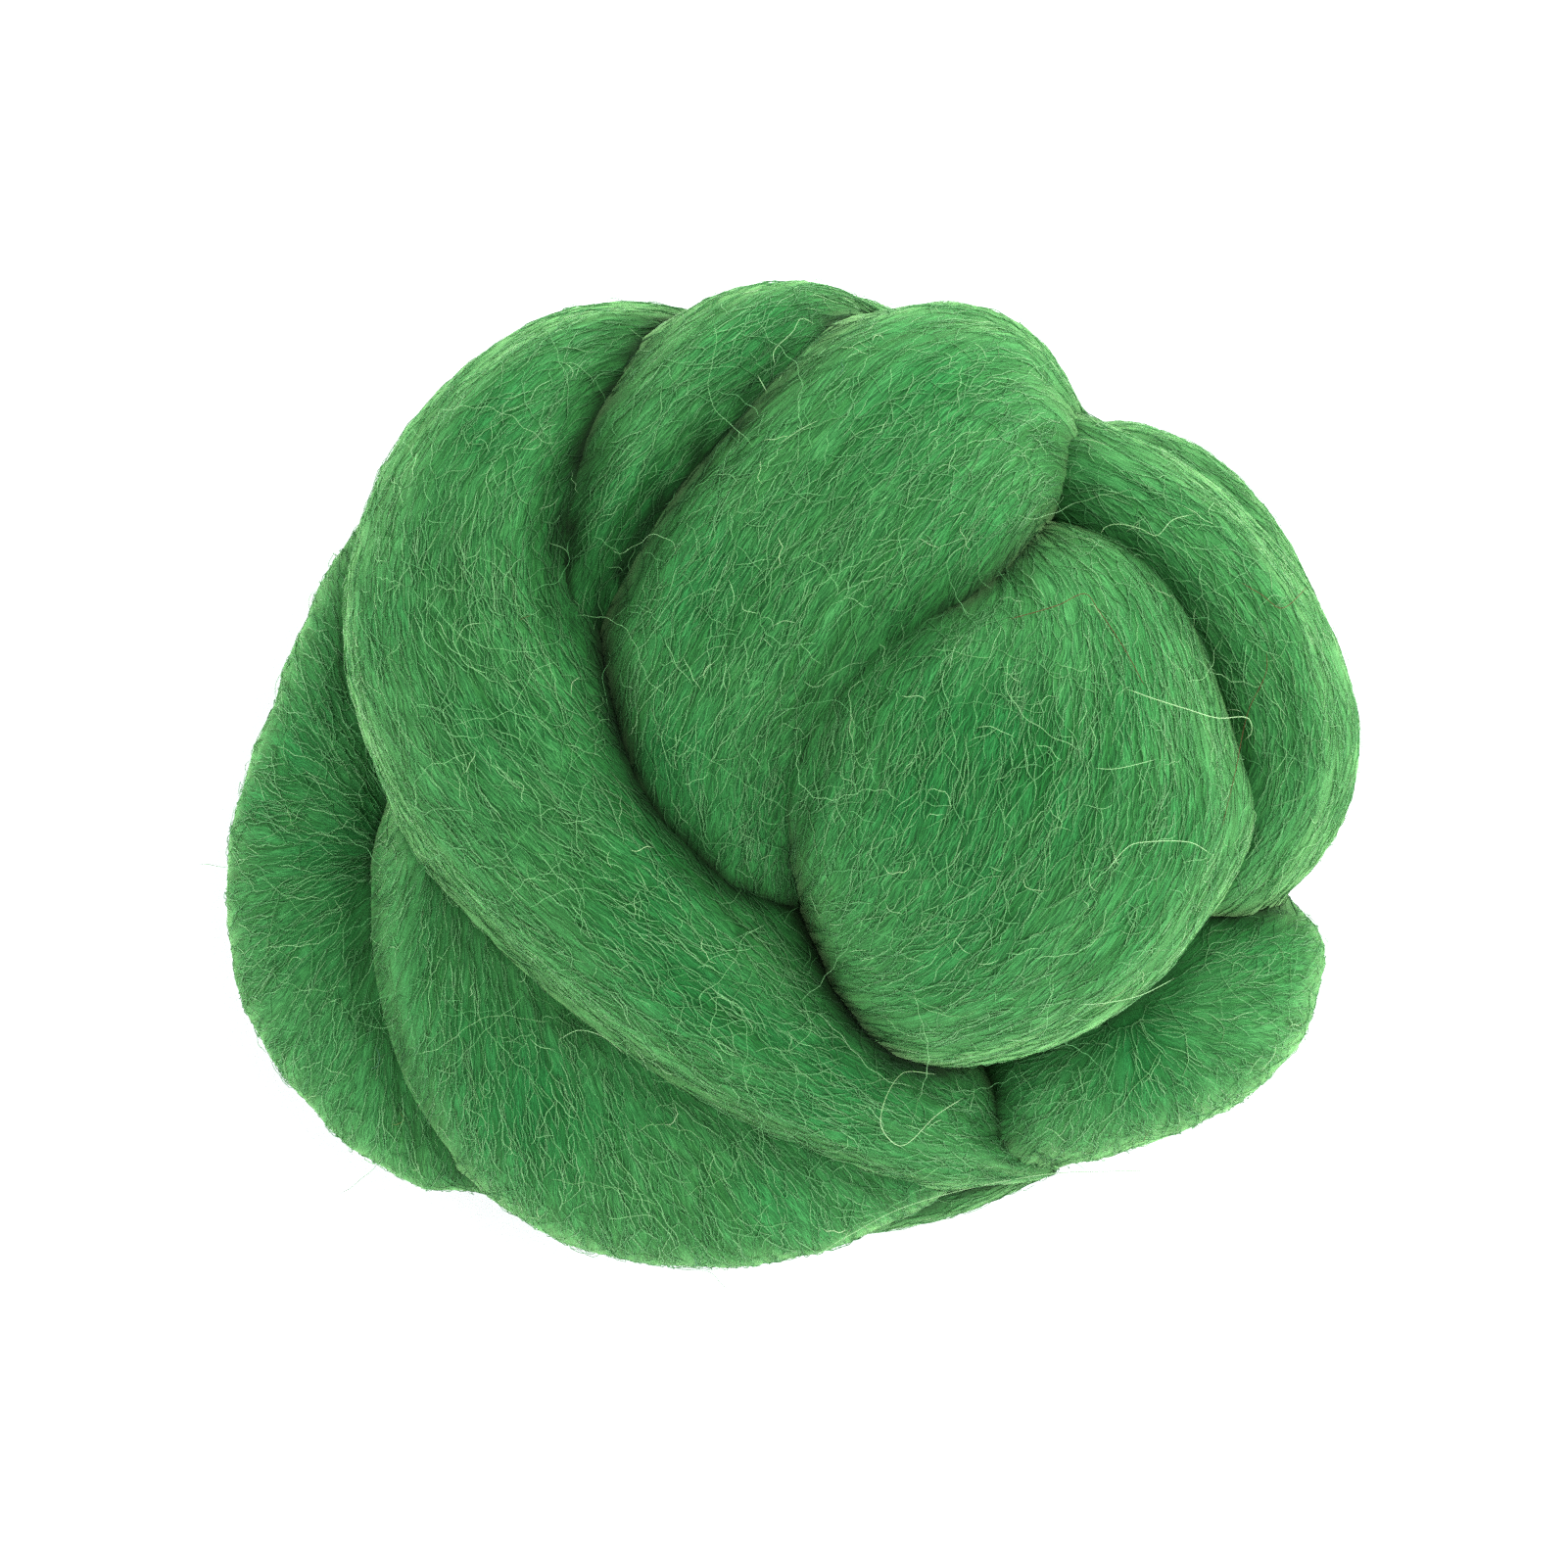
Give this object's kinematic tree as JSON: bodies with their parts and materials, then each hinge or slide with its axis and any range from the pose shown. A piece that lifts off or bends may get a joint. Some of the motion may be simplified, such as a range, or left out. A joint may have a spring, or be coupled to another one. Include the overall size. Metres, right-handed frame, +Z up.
{
  "type": "wool roving",
  "caption": "Loose ball of combed green wool roving, one thick soft sliver folded and tucked over itself into rounded lobes, resting flat on its base.",
  "frame": {"origin": "bottom centre of the bounding box, on the surface the ball lies on", "axes": "+X towards the picture's right, along the ball's length; +Y towards the picture's top; +Z up, away from the table"},
  "size_m": [0.174, 0.1504, 0.075],
  "materials": {
    "green_wool": "soft matt combed wool fibre, unspun"
  },
  "bodies": {
    "root": {"roving": "green_wool"}
  },
  "joints": []
}
